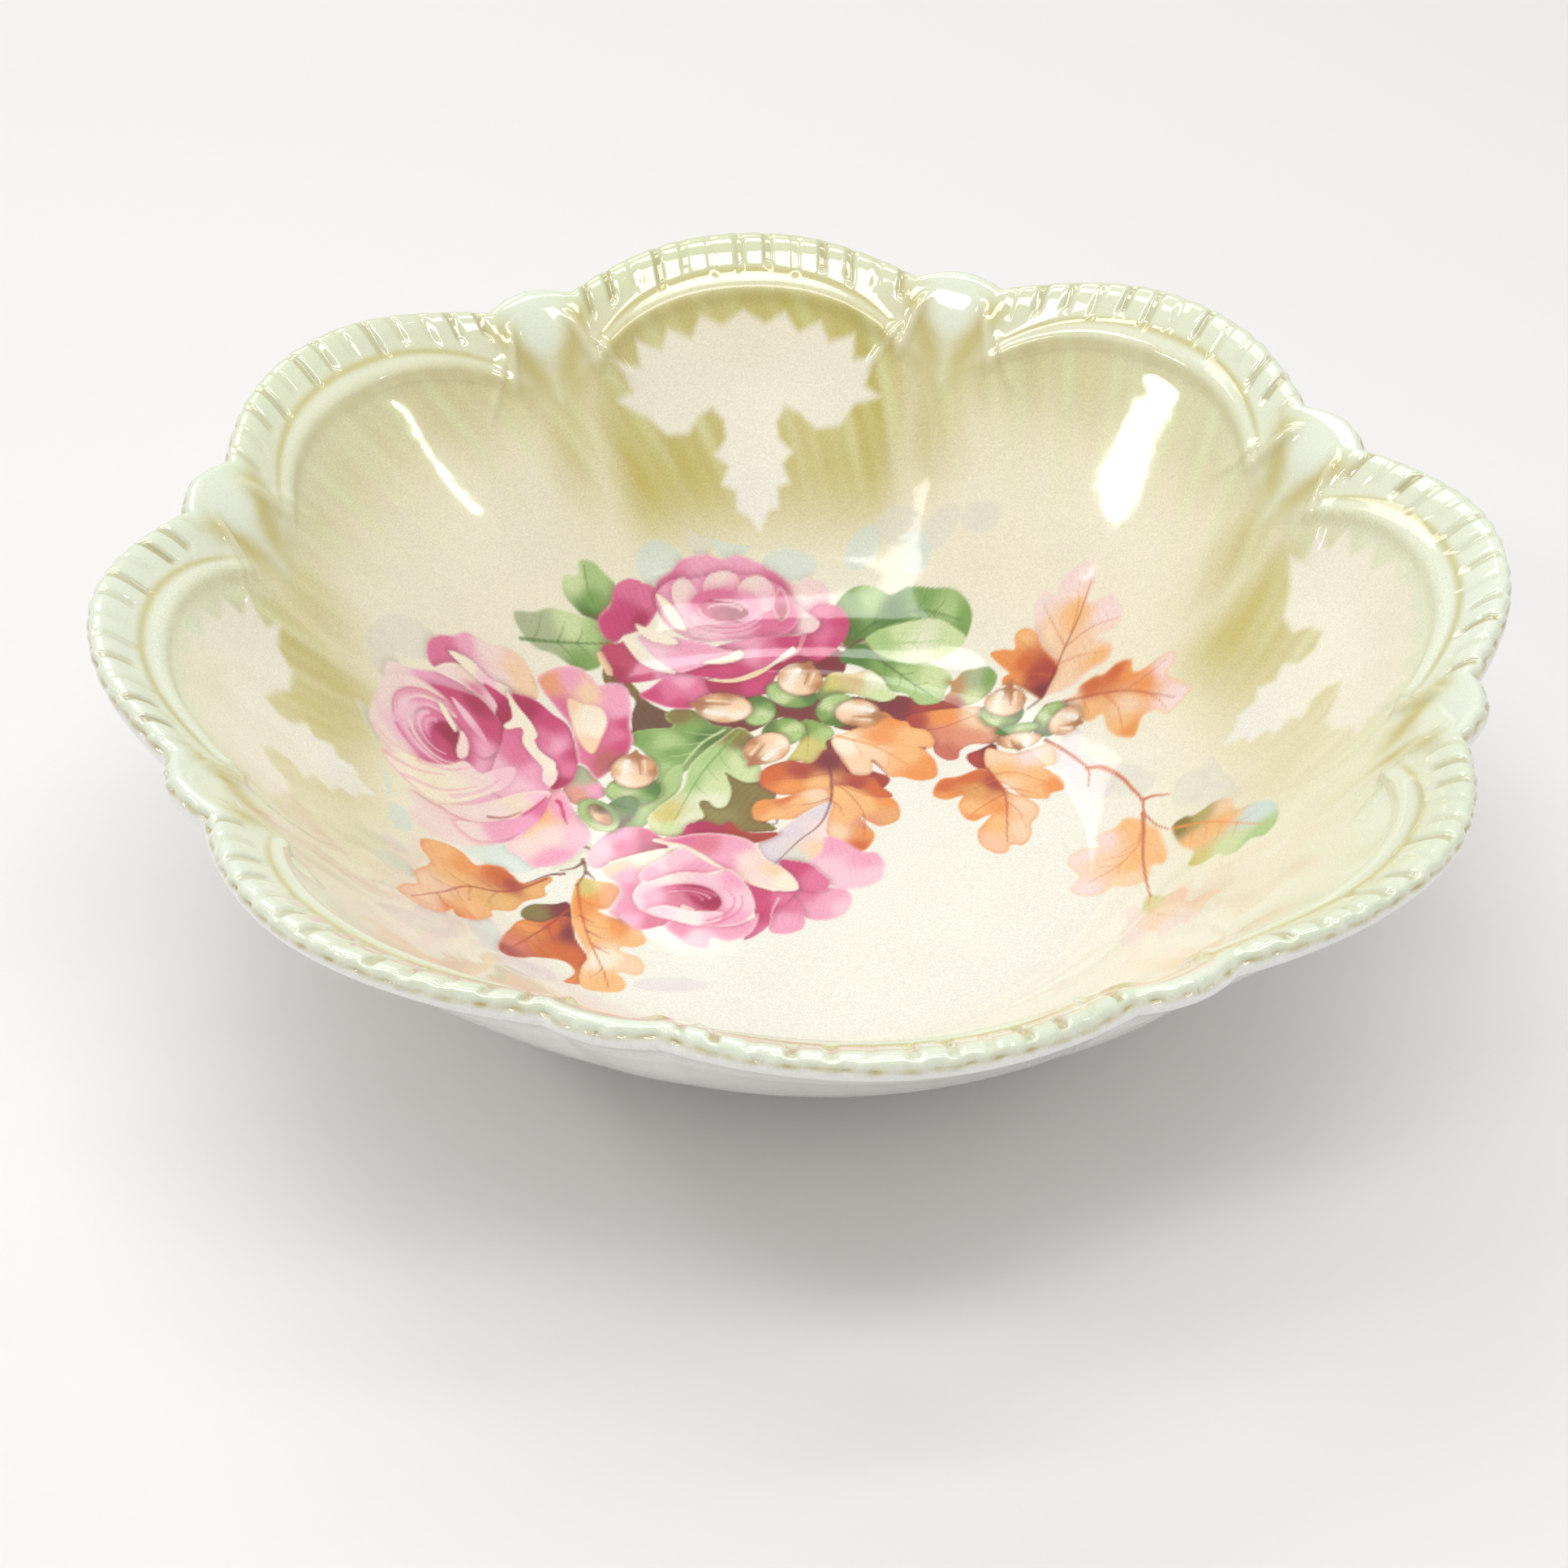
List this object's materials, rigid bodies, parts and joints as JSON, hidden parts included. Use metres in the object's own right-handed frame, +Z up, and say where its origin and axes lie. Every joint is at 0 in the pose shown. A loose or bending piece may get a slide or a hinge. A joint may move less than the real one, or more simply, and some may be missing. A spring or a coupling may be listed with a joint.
{
  "type": "serving bowl",
  "caption": "Porcelain serving bowl with a lobed, gadrooned lustre rim, an olive sprayed ground and printed roses, acorns and oak leaves.",
  "frame": {"origin": "on the table, at the middle of the foot ring, on the bowl's axis", "axes": "+Z up along the bowl's axis, +Y through the middle of a lobe, with lobes every 45 degrees"},
  "size_m": [0.2652, 0.2652, 0.075],
  "materials": {
    "paste": "fired white porcelain paste",
    "foot": "glazed, with a bare ground toe",
    "ground_glaze": "glossy ivory ground, sprayed olive on the wall",
    "clear_glaze": "glossy clear glaze over white",
    "lustre": "pale green mother-of-pearl lustre",
    "print": "printed enamel colours under a glossy glaze"
  },
  "bodies": {
    "root": {"porcelain_body": "paste", "foot_ring": "foot", "inner_glaze": "ground_glaze", "outer_glaze": "clear_glaze", "rim_lustre": "lustre", "rose_transfer": "print"}
  },
  "joints": []
}
